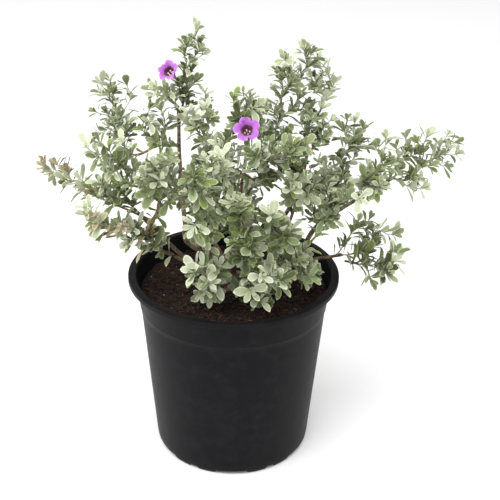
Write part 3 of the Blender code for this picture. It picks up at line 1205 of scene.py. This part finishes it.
@dataclass
class Skeleton:
    """The plant's wood as a tree of places, each with the place that carries it."""

    habit: Habit
    places: list = field(default_factory=list)
    parents: list = field(default_factory=list)
    headings: list = field(default_factory=list)

    def add(self, place: Vector, parent: int) -> int:
        """Add a place and return its number.

        Args:
            place: where it is.
            parent: the number of the place that carries it, or -1.

        Returns:
            The new place's number.
        """
        heading = place - self.places[parent] if parent >= 0 else UP.copy()
        self.places.append(place)
        self.parents.append(parent)
        self.headings.append(heading.normalized())
        return len(self.places) - 1

    def carrier(self, tip: Vector) -> int:
        """Find the place from which a shoot grows most naturally.

        Args:
            tip: where the shoot ends.

        Returns:
            The place's number.
        """
        habit = self.habit
        way = np.array(tip) - np.array(self.places)
        length = np.linalg.norm(way, axis=1) + LEAST
        along = np.einsum("ij,ij->i", way, np.array(self.headings)) / length
        cost = length * (habit.turn_cost - habit.straight_gain * along)
        return int(np.argmin(cost + np.maximum(0.0, habit.shortest_shoot - length) * habit.short_cost))

    def grow(self, tip: Vector, draw: random.Random) -> list[int]:
        """Grow a shoot to a tip.

        Args:
            tip: where it ends.
            draw: the source of seeded chance.

        Returns:
            The numbers of its places, from the carrying one to the tip.
        """
        carrier = self.carrier(tip)
        start = self.places[carrier]
        way = tip - start
        side = Vector((draw.uniform(-1, 1), draw.uniform(-1, 1), draw.uniform(*self.habit.side_rises)))
        onward, direct, aside = self.habit.leaving
        leaving = (self.headings[carrier] * onward + way.normalized() * direct + side * aside).normalized()
        upward, aside = self.habit.arriving
        arriving = (way.normalized() + UP * upward + side * aside).normalized()
        count = max(2, round(way.length / self.habit.step))
        first = start + leaving * way.length / 3
        second = tip - arriving * way.length / 3
        path = [carrier]
        for i in range(1, count + 1):
            t = i / count
            place = start * (1 - t) ** 3 + first * 3 * t * (1 - t) ** 2
            place = place + second * 3 * t * t * (1 - t) + tip * t**3
            path.append(self.add(place, path[-1]))
        return path

    def thickness(self) -> list[float]:
        """Work out how thick the wood is from the shoots that it carries.

        Returns:
            The radius at each place.
        """
        habit = self.habit
        load = [0.0] * len(self.places)
        for i in reversed(range(len(self.places))):
            load[i] = max(load[i], habit.tip_radius**habit.pipe_power)
            if self.parents[i] >= 0:
                load[self.parents[i]] += load[i]
        return [min(habit.thickest_twig, carried ** (1 / habit.pipe_power)) for carried in load]


@dataclass
class Leaves:
    """Felted leaves gathered for one side of the crown, each with its place, turn, size and tone."""

    # Shares along the leaf and its width at each, widest near the round tip, and shares across it
    rows: tuple = (0.0, 0.14, 0.34, 0.55, 0.75, 0.91, 1.0)
    widths: tuple = (0.10, 0.26, 0.62, 0.92, 1.0, 0.68, 0.14)
    columns: tuple = (-1.0, -0.74, 0.0, 0.74, 1.0)
    # How much a bent leaf shortens, how many waves its edge has, and how narrow a part still waves
    bend_loss: float = 0.08
    waves: float = 1.6
    wave_width: float = 1.3
    feet: list = field(default_factory=list)
    alongs: list = field(default_factory=list)
    uppers: list = field(default_factory=list)
    shapes: list = field(default_factory=list)
    tones: list = field(default_factory=list)

    def add(self, foot: Vector, along: Vector, upper: Vector, shape: tuple, tone: Tone) -> None:
        """Add one leaf.

        Args:
            foot: where it stands on its shoot.
            along: the direction of its midrib.
            upper: the direction that its upper side faces.
            shape: its length, width, bend, fold, ripple and ripple's phase.
            tone: its colours.
        """
        along = along.normalized()
        upper = (upper - along * upper.dot(along)).normalized()
        self.feet.append(tuple(foot))
        self.alongs.append(tuple(along))
        self.uppers.append(tuple(upper))
        self.shapes.append(shape)
        self.tones.append(tone.value)

    def piece(self, name: str, finishes: list[Material]) -> bpy.types.Object:
        """Make the gathered leaves one piece, each leaf a folded and bent grid with a margin.

        Args:
            name: the piece's name.
            finishes: the blade and margin materials of every tone.

        Returns:
            The piece.
        """
        feet, alongs, uppers = (np.array(x)[:, None, None, :] for x in (self.feet, self.alongs, self.uppers))
        beside = np.cross(uppers, alongs)
        length, width, bend, fold, ripple, phase = (x[:, None, None] for x in np.array(self.shapes).T)
        u = np.array(self.rows)[None, :, None]
        w = np.array(self.widths)[None, :, None]
        c = np.array(self.columns)[None, None, :]
        ahead = length * (u - self.bend_loss * np.abs(bend) * u * u) * np.ones_like(c)
        aside = c * w * width / 2 * np.cos(fold)
        lift = -0.5 * bend * length * u * u + np.abs(c) * w * width / 2 * np.sin(fold)
        wave = ripple * width * c * c * np.sin(FULL_TURN * (self.waves * u + phase))
        lift = lift + wave * np.minimum(1.0, w * self.wave_width)
        places = feet + ahead[..., None] * alongs + aside[..., None] * beside + lift[..., None] * uppers
        count, rows, columns = len(self.feet), len(self.rows), len(self.columns)
        grid = np.arange(rows * columns).reshape(rows, columns)
        corners = [grid[:-1, :-1], grid[1:, :-1], grid[1:, 1:], grid[:-1, 1:]]
        quads = np.stack(corners, axis=-1).reshape(-1, 4)
        is_margin = np.zeros((rows - 1, columns - 1), np.int32)
        is_margin[:, 0] = is_margin[:, -1] = is_margin[-1, :] = 1
        faces = quads[None] + (np.arange(count) * rows * columns)[:, None, None]
        slots = (np.array(self.tones)[:, None] * 2 + is_margin.reshape(-1)[None]).reshape(-1)
        return make_piece(name, places.reshape(-1, 3), faces.reshape(-1, 4).tolist(), finishes, slots)


def mass_axis(node: bpy.types.Object) -> tuple[Vector, Vector, float, float]:
    """The long axis of a mass of foliage.

    Args:
        node: the mass's solid.

    Returns:
        Its middle, the axis's upward direction, and how far it runs below and above the middle.
    """
    corners = np.array([vertex.co for vertex in node.data.vertices]) / MM
    middle = corners.mean(axis=0)
    axis = np.linalg.svd(corners - middle)[2][0]
    if axis[2] < 0:
        axis = -axis
    spans = (corners - middle) @ axis
    return Vector(middle), Vector(axis), float(spans.min()), float(spans.max())


def side_of(name: str) -> Side:
    """Find the side of the crown that a mass belongs to.

    Args:
        name: the mass's name.

    Returns:
        The side.
    """
    if "_back" in name:
        return Side.BACK
    if "_front" in name:
        return Side.FRONT
    if "_centre" in name or "_flower" in name:
        return Side.CENTRE
    return Side.RIGHT if "_right" in name and "_spire" not in name else Side.LEFT


def along_shoot(points: list[Vector], lengths: list[float], target: float) -> tuple[Vector, Vector]:
    """Find a place on a shoot and the way it points there.

    Args:
        points: the shoot's places.
        lengths: how far along the shoot each one is.
        target: how far along to look.

    Returns:
        The place and the unit direction.
    """
    last = len(points) - 1
    after = next((i for i in range(1, last) if lengths[i] >= target), last)
    before = points[after - 1]
    span = max(LEAST, lengths[after] - lengths[after - 1])
    share = min(1.0, max(0.0, (target - lengths[after - 1]) / span))
    return before.lerp(points[after], share), (points[after] - before).normalized()


@dataclass
class Crown:
    """The twigs and leaves that take the places of the masses of foliage."""

    habit: Habit
    view: View
    nodes: dict
    skeleton: Skeleton
    shoots: list = field(default_factory=list)

    def masses(self) -> list[str]:
        """The names of the masses of foliage."""
        return [name for name in self.nodes if name.startswith("foliage_")]

    def root_in(self, limbs: Limbs) -> None:
        """Start the skeleton with the middle lines of the trunk and the boughs.

        Args:
            limbs: the limbs, already made.
        """
        for path in limbs.paths.values():
            parent = -1
            for place in path[:: self.habit.limb_stride]:
                parent = self.skeleton.add(place, parent)

    def seen_tip(self, name: str, seen_at: tuple, draw: random.Random) -> Vector:
        """Place a tip that the photograph shows at the depth of its mass.

        Args:
            name: the mass.
            seen_at: the tip's pixel.
            draw: the source of seeded chance.

        Returns:
            The tip's place.
        """
        middle, axis, low, high = mass_axis(self.nodes[name])
        eye = Vector(self.view.position)
        ray = self.view.ray(seen_at)
        across = (middle - eye) - ray * (middle - eye).dot(ray)
        lean = axis - ray * axis.dot(ray)
        share = max(low, min(high, -across.dot(lean) / lean.length_squared))
        nearest = middle + axis * share
        play = draw.uniform(-self.habit.depth_play, self.habit.depth_play)
        return eye + ray * ((nearest - eye).dot(ray) + play)

    def hidden_tips(self, name: str, draw: random.Random) -> list[Vector]:
        """Spread tips through a mass, most of them near its surface.

        Args:
            name: the mass.
            draw: the source of seeded chance.

        Returns:
            The tips' places.
        """
        mesh = self.nodes[name].data
        middle = mass_axis(self.nodes[name])[0]
        corners = [vertex.co / MM for vertex in mesh.vertices]
        area = sum(polygon.area for polygon in mesh.polygons) / MM**2
        tips = []
        for _ in range(max(2, round(area / self.habit.shoot_spacing))):
            face = draw.choice(mesh.polygons)
            shares = [draw.random() for _ in face.vertices]
            weighed = (corners[v] * s for v, s in zip(face.vertices, shares, strict=True))
            spot = sum(weighed, Vector()) / sum(shares)
            tips.append(middle + (spot - middle) * draw.uniform(*self.habit.hidden_depths))
        return tips

    def grow(self) -> None:
        """Grow a shoot to every tip, the nearest to the trunk first."""
        draw = random.Random(self.habit.seed)
        tips = []
        for name in sorted(self.masses()):
            seen = [self.seen_tip(name, spot, draw) for spot in SEEN_TIPS.get(name, ())]
            tips += [(tip, name, 0.0) for tip in seen]
            # Tips spread inside a mass get painted shade: their sprays take darker tones more often
            tips += [(tip, name, self.habit.inner_painted_shade_bias) for tip in self.hidden_tips(name, draw)]
        fork = Vector((0.0, 0.0, self.habit.fork_height))
        tips.sort(key=lambda entry: (entry[0] - fork).length)
        self.shoots = [(self.skeleton.grow(tip, draw), name, painted_shade_bias) for tip, name, painted_shade_bias in tips]
        LOG.info("%d shoots, %d places", len(self.shoots), len(self.skeleton.places))

    def make_twigs(self) -> None:
        """Make the twigs, pale and felted when young, brown when older."""
        radii = self.skeleton.thickness()
        tubes = Tubes(sides=6)
        for path, _, _ in self.shoots:
            points = [self.skeleton.places[i] for i in path]
            thick = [radii[i] for i in path[1:]]
            is_old = thick[len(thick) // 2] > self.habit.tip_radius * self.habit.old_from
            tubes.add(points, [thick[0], *thick], int(is_old), self.habit.twig_relief)
        finishes = [
            Bark("felted_green_twig", "#7d8463", "#a3a784").material(),
            Bark("brown_twig", "#4a3826", "#87745a").material(),
        ]
        piece = tubes.piece("twigs", finishes)

    def tone_for(self, name: str, painted_shade_bias: float, height: float, draw: random.Random) -> Tone:
        """Choose a spray's tone.

        Args:
            name: the mass the spray is in.
            painted_shade_bias: how much likelier the darker tones are, which paint shade, from 0 to 1.
            height: how high the shoot's tip is.
            draw: the source of seeded chance.

        Returns:
            The tone.
        """
        habit = self.habit
        low = max(0.0, min(1.0, (habit.low_from - height) / habit.low_over))
        chance = draw.random() + painted_shade_bias
        if name in habit.aged_masses and draw.random() < habit.aged_share:
            return Tone.AGED
        if chance < habit.silver_share:
            return Tone.SILVER
        if chance < habit.pale_share:
            return Tone.PALE
        if chance < habit.sage_share - habit.low_sage_loss * low:
            return Tone.SAGE
        return Tone.FRESH if draw.random() < habit.fresh_share else Tone.PAINTED_SHADE

    def size_at(self, height: float) -> float:
        """How large leaves are at a height: the lowest shoots have the largest ones."""
        share = max(0.0, min(1.0, (height - self.habit.shrink_from) / self.habit.shrink_over))
        return 1.0 - self.habit.shrink * share

    def dress(self) -> None:
        """Stand leaves along every shoot and make one piece for each side of the crown."""
        draw = random.Random(self.habit.seed + 1)
        gathered = {side: Leaves() for side in Side}
        for path, name, painted_shade_bias in self.shoots:
            points = [self.skeleton.places[i] for i in path]
            self.dress_shoot(gathered[side_of(name)], points, name, painted_shade_bias, draw)
        finishes = leaf_finishes()
        for side, leaves in gathered.items():
            piece = leaves.piece(f"leaves_{side.value}", finishes)
            masses = [name for name in self.masses() if side_of(name) is side]
            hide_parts(*masses)

    def dress_shoot(
        self, leaves: Leaves, points: list[Vector], name: str, painted_shade_bias: float, draw: random.Random
    ) -> None:
        """Stand leaves along one shoot, alternate on its length and crowded at its tip.

        Args:
            leaves: where the leaves are gathered.
            points: the shoot's places.
            name: the mass it belongs to.
            painted_shade_bias: how much likelier the darker tones are, which paint shade, from 0 to 1.
            draw: the source of seeded chance.
        """
        habit = self.habit
        lengths = [0.0]
        for a, b in zip(points, points[1:], strict=False):
            lengths.append(lengths[-1] + (b - a).length)
        reach = min(lengths[-1] * habit.leafy_share, habit.leafy_reach)
        along = max(0, round(reach / habit.leaf_spacing))
        turn = draw.uniform(0.0, FULL_TURN)
        vigour = draw.uniform(*habit.vigours)
        top = points[-1].z
        spray_tone = self.tone_for(name, painted_shade_bias, top, draw)
        for i in range(along + habit.rosette):
            is_rosette = i >= along
            if is_rosette:
                share = (i - along) / (habit.rosette - 1)
                back = habit.rosette_depth * (1 - share)
                play = draw.uniform(-habit.lean_play, habit.lean_play)
                lean = math.radians(habit.rosette_lean - habit.rosette_rise * share + play)
                size = 1.0 - habit.rosette_shrink * share
            else:
                back = reach * (1 - i / along) + habit.below_tip
                lean = math.radians(draw.uniform(*habit.side_leans))
                size = draw.uniform(*habit.side_sizes)
            place, ahead = along_shoot(points, lengths, lengths[-1] - back)
            turn += GOLDEN_ANGLE + draw.uniform(-habit.turn_play, habit.turn_play)
            across = ahead.orthogonal().normalized()
            outward = across * math.cos(turn) + ahead.cross(across) * math.sin(turn)
            roll = outward.cross(ahead) * draw.uniform(-habit.roll_play, habit.roll_play)
            upper = ahead * math.sin(lean) - outward * math.cos(lean) + UP * habit.light_pull + roll
            rib = ahead * math.cos(lean) + outward * math.sin(lean) + UP * draw.uniform(*habit.lift_play)
            length = draw.uniform(*habit.leaf_length) * size * vigour * self.size_at(top)
            width = length * draw.uniform(*habit.leaf_breadth)
            curl = [draw.uniform(*span) for span in (habit.bends, habit.folds, habit.ripples)]
            shape = (length, width, *curl, draw.random())
            tone = spray_tone
            # Some leaves below the rosette are redrawn with more painted shade
            if not is_rosette and draw.random() < habit.lone_leaf_share:
                tone = self.tone_for(name, painted_shade_bias + habit.lone_leaf_painted_shade_bias, top, draw)
            leaves.add(place, rib, upper, shape, tone)


class Petals(Enum):
    """The parts of a flower, each with the name and colour of its petal tissue."""

    TUBE = ("mauve_petal_tube", "#8c3f94")
    THROAT = ("magenta_petal_throat", "#64164c")
    LOBE = ("lilac_petal", "#a85cb8")
    EDGE = ("pale_lilac_petal_edge", "#bd80cc")
    ANTHER = ("cream_anther", "#e6dcb4")


@dataclass(frozen=True)
class BellFlower:
    """One open flower: a short tube that widens to a bell with five round, ruffled lobes."""

    name: str
    foot: Place
    mouth: Place
    tube_length: float
    lobe_radius: float
    throat_radius: float
    lobes: int = 5
    foot_radius: float = 1.5
    flute: float = 0.05
    # Shares of the flower's rows at which its tissues end, and the share of them that is the bell
    tissue_ends: Place = (0.3, 0.56, 0.93)
    bell_rows: float = 0.6
    bell_height: float = 0.86
    flare_height: float = 0.2
    flare_curve: float = 2.3
    # How far the edge reaches between two lobes, as a share of the lobes' reach
    notch_reach: float = 0.42
    ruffles: int = 11
    ruffle_turn: float = 1.0
    ruffle_height: float = 0.9
    droop: float = 0.6
    stamens: int = 4
    stamen_turn: float = 0.4
    # The foot of a stamen along and off the flower's axis, each with its gain to the next of three places
    stamen_heights: Range = (4.0, 4.0)
    stamen_spread: Range = (1.5, 0.5)
    stamen_radii: Place = (0.35, 0.35, 0.8)
    columns: int = 60
    rows: int = 18

    def make(self, finishes: list[Material]) -> None:
        """Make the flower with its stamens.

        Args:
            finishes: the materials of its parts, in their order.
        """
        foot = Vector(self.foot)
        ahead = (Vector(self.mouth) - foot).normalized()
        across = ahead.cross(UP).normalized()
        beside = ahead.cross(across)
        flower = Tubes(sides=5)
        parts = list(Petals)
        for row in range(self.rows):
            for column in range(self.columns):
                angle = column * FULL_TURN / self.columns
                radius, height = self.shape(row / (self.rows - 1), angle)
                outward = across * math.cos(angle) + beside * math.sin(angle)
                flower.places.append(foot + ahead * height + outward * radius)
        flower.faces += ring_faces(self.rows, self.columns)
        for row in range(self.rows - 1):
            along = (row + 0.5) / (self.rows - 1)
            tissue = sum(along >= end for end in self.tissue_ends)
            flower.slots += [tissue] * self.columns
        low, rise = self.stamen_heights
        near, spread = self.stamen_spread
        for i in range(self.stamens):
            angle = i * FULL_TURN / self.stamens + self.stamen_turn
            outward = across * math.cos(angle) + beside * math.sin(angle)
            stem = [foot + ahead * (low + rise * t) + outward * (near + spread * t) for t in range(3)]
            flower.add(stem, list(self.stamen_radii), parts.index(Petals.ANTHER))
        piece = flower.piece(self.name, finishes)

    def shape(self, along: float, angle: float) -> tuple[float, float]:
        """Work out where a point of the flower's surface is.

        Args:
            along: the share of the flower's rows at which it is.
            angle: its direction round the flower's axis.

        Returns:
            How far it is off the axis, and how far along it.
        """
        fluted = math.cos(self.lobes * angle)
        if along < self.bell_rows:
            t = along / self.bell_rows
            bell = self.foot_radius + (self.throat_radius - self.foot_radius) * t * t * (3 - 2 * t)
            return bell * (1.0 + self.flute * fluted * t), self.tube_length * t * self.bell_height
        t = (along - self.bell_rows) / (1.0 - self.bell_rows)
        lobe = abs(math.cos(self.lobes / 2 * angle)) ** 0.5
        reach = self.notch_reach + (1.0 - self.notch_reach) * lobe
        edge = self.throat_radius + (self.lobe_radius - self.throat_radius) * reach
        radius = self.throat_radius * (1.0 + self.flute * fluted) * (1 - t) + edge * t
        ruffle = self.ruffle_height * t * t * math.sin(self.ruffles * angle + self.ruffle_turn)
        ruffle += self.droop * t * math.sin(self.lobes * angle)
        flare = self.bell_height + self.flare_height * math.sin(t * self.flare_curve)
        return radius, self.tube_length * flare + ruffle


# Each open flower's name, foot, place that its mouth faces, tube length, lobe radius and throat radius
FLOWERS = (
    BellFlower("flower_front", (13.0, -31.0, 371.0), (11.0, -44.0, 386.0), 18.0, 13.5, 6.0),
    BellFlower("flower_left", (-60.0, 22.0, 413.0), (-70.0, 8.0, 429.0), 17.0, 11.5, 5.5),
)


def main() -> None:
    """Load the frame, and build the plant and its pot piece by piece."""
    logging.basicConfig(level=logging.INFO, format="%(name)s: %(message)s")
    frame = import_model()
    view = View()
    view.make()
    Studio().make()
    NurseryPot().make()
    limbs = Limbs()
    limbs.make()
    Soil().make()
    habit = Habit()
    crown = Crown(habit, view, frame["nodes"], Skeleton(habit))
    crown.root_in(limbs)
    crown.grow()
    crown.make_twigs()
    crown.dress()
    petals = [Petal(*part.value).material() for part in Petals]
    for flower in FLOWERS:
        flower.make(petals)


if __name__ == "__main__":
    main()
